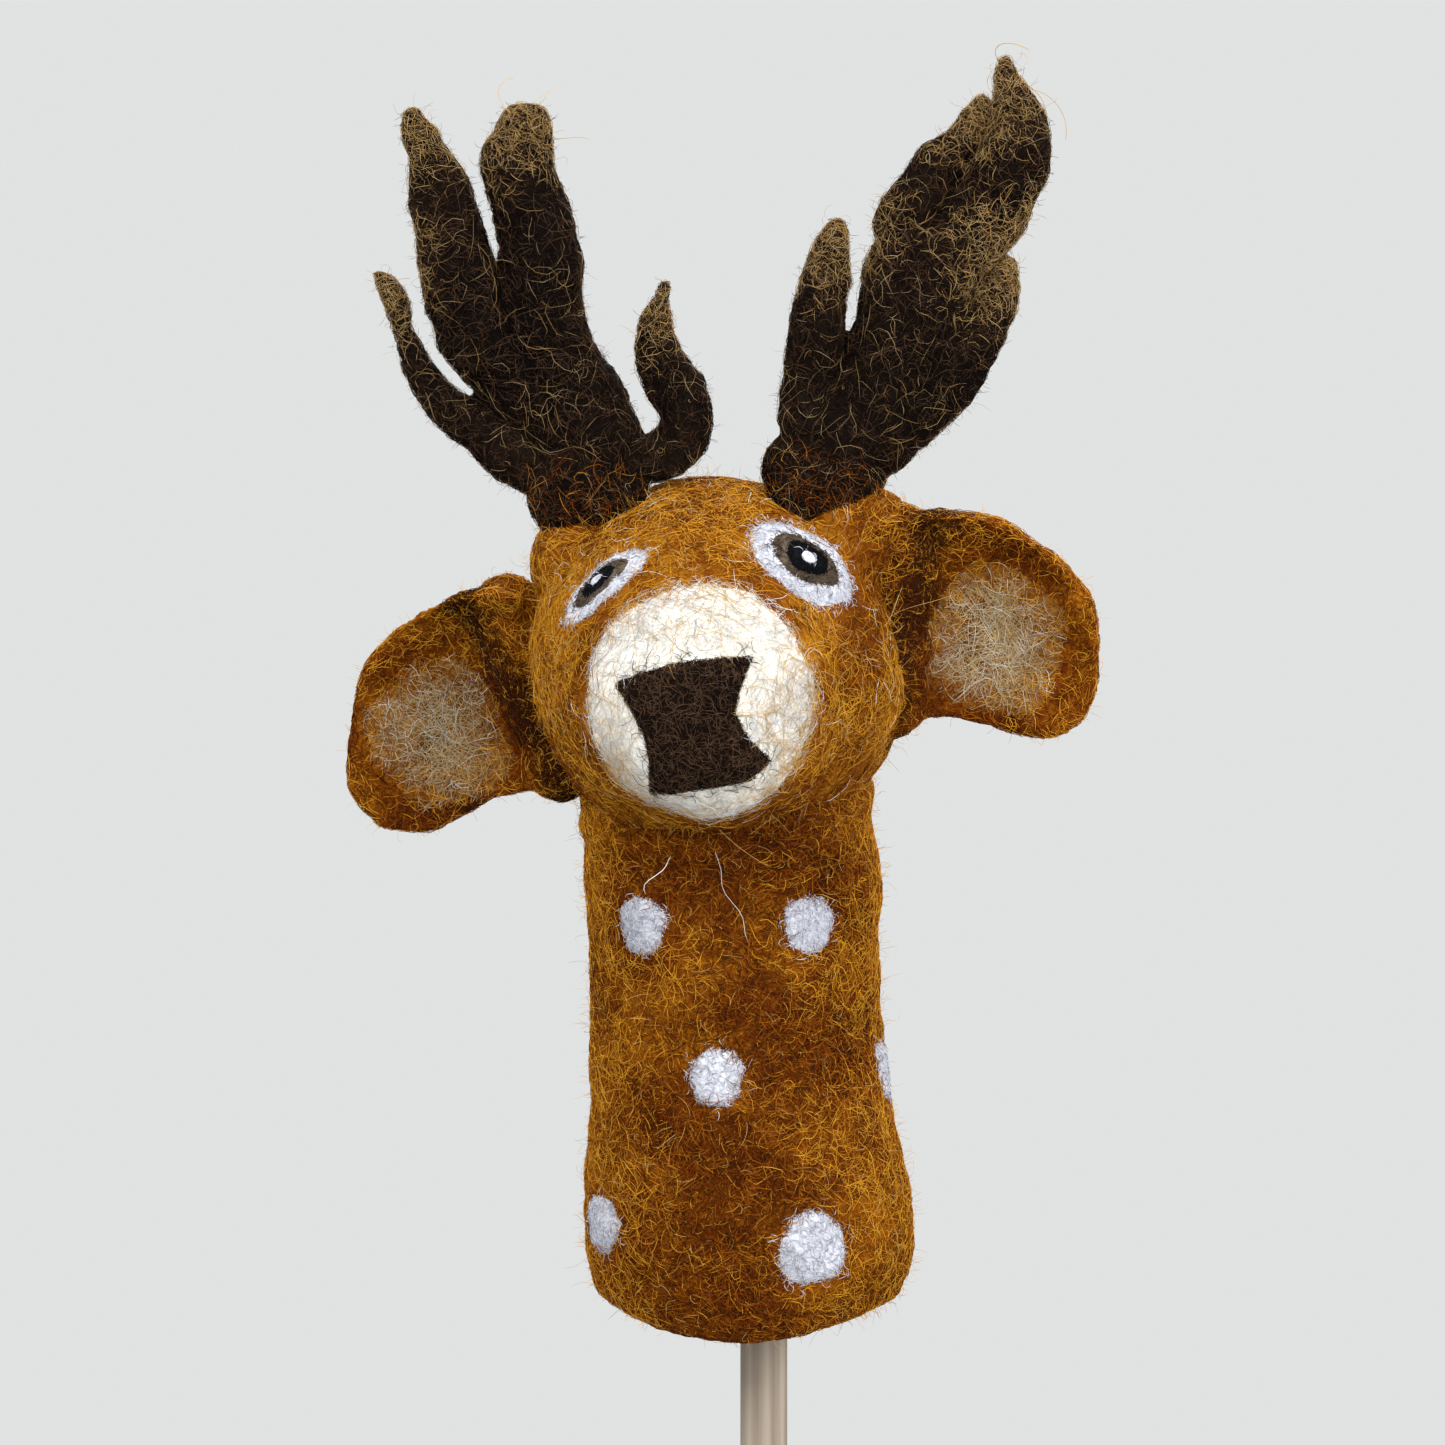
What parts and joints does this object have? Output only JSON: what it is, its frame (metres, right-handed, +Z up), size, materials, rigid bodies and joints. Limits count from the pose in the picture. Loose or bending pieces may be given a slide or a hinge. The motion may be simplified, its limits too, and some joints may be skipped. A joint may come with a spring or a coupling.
{
  "type": "felted finger puppet",
  "caption": "Wool-felt stag finger puppet with cupped ears and branched antlers, standing on a round wooden display stick.",
  "frame": {"origin": "centre of the display stick's lower end", "axes": "+Z up along the stick, -Y the way the face looks, +X the viewer's right"},
  "size_m": [0.08, 0.0459, 0.2088],
  "materials": {
    "stick_wood": "plain sanded dowel",
    "wool_ochre": "matted felted wool",
    "wool_white": "needle-felted wool",
    "wool_cream": "needle-felted wool",
    "wool_core": "loose core wool",
    "wool_ear": "needle-felted wool",
    "wool_nose": "needle-felted wool",
    "wool_iris": "needle-felted wool",
    "wool_black": "needle-felted wool",
    "wool_antler": "needle-felted wool, tan at the tips"
  },
  "bodies": {
    "stick": {"stick": "stick_wood"},
    "sleeve": {"sleeve": "wool_ochre", "spot_1": "wool_white", "spot_2": "wool_white", "spot_3": "wool_white", "spot_4": "wool_white", "spot_5": "wool_white", "spot_6": "wool_white", "spot_7": "wool_white", "spot_8": "wool_white", "spot_9": "wool_white", "spot_10": "wool_white", "spot_11": "wool_white", "spot_12": "wool_white", "spot_13": "wool_white"},
    "head": {"head_cover": "wool_ochre", "head_stuffing": "wool_core", "finger_end": "wool_ochre", "muzzle": "wool_cream", "nose": "wool_nose", "eye_white_left": "wool_white", "eye_iris_left": "wool_iris", "eye_pupil_left": "wool_black", "eye_glint_left": "wool_white", "eye_white_right": "wool_white", "eye_iris_right": "wool_iris", "eye_pupil_right": "wool_black", "eye_glint_right": "wool_white"},
    "ear_left": {"ear_shell_left": "wool_ochre", "ear_lining_left": "wool_ear"},
    "ear_right": {"ear_shell_right": "wool_ochre", "ear_lining_right": "wool_ear"},
    "antler_left": {"antler_beam_left": "wool_antler", "antler_fork_left": "wool_antler", "antler_outer_tine_left": "wool_antler", "antler_brow_tine_left": "wool_antler"},
    "antler_right": {"antler_beam_right": "wool_antler", "antler_fork_right": "wool_antler", "antler_inner_tine_right": "wool_antler", "antler_outer_tine_right": "wool_antler"}
  },
  "joints": [
    {"name": "puppet_lift", "type": "slide", "parent": "stick", "child": "sleeve", "axis": [0, 0, 1], "range_m": [0, 0.08]},
    {"name": "head_nod", "type": "hinge", "parent": "sleeve", "child": "head", "pos_m": [-0.003, 0, 0.1444], "axis": [1, 0, 0], "range_deg": [-14, 14], "stiffness_Nm_per_rad": 0.12},
    {"name": "ear_left_flex", "type": "hinge", "parent": "head", "child": "ear_left", "pos_m": [-0.02516, -0.00057, 0.14247], "axis": [0.4507, 0.094, -0.8877], "range_deg": [-25, 25], "stiffness_Nm_per_rad": 0.01},
    {"name": "ear_right_flex", "type": "hinge", "parent": "head", "child": "ear_right", "pos_m": [0.01446, -0.0059, 0.14979], "axis": [0.1908, -0.1739, 0.9661], "range_deg": [-25, 25], "stiffness_Nm_per_rad": 0.01},
    {"name": "antler_left_flex", "type": "hinge", "parent": "head", "child": "antler_left", "pos_m": [-0.01775, -0.00419, 0.16028], "axis": [1, 0, 0], "range_deg": [-14, 14], "stiffness_Nm_per_rad": 0.05},
    {"name": "antler_right_flex", "type": "hinge", "parent": "head", "child": "antler_right", "pos_m": [0.00485, -0.00681, 0.16185], "axis": [1, 0, 0], "range_deg": [-14, 14], "stiffness_Nm_per_rad": 0.05}
  ]
}
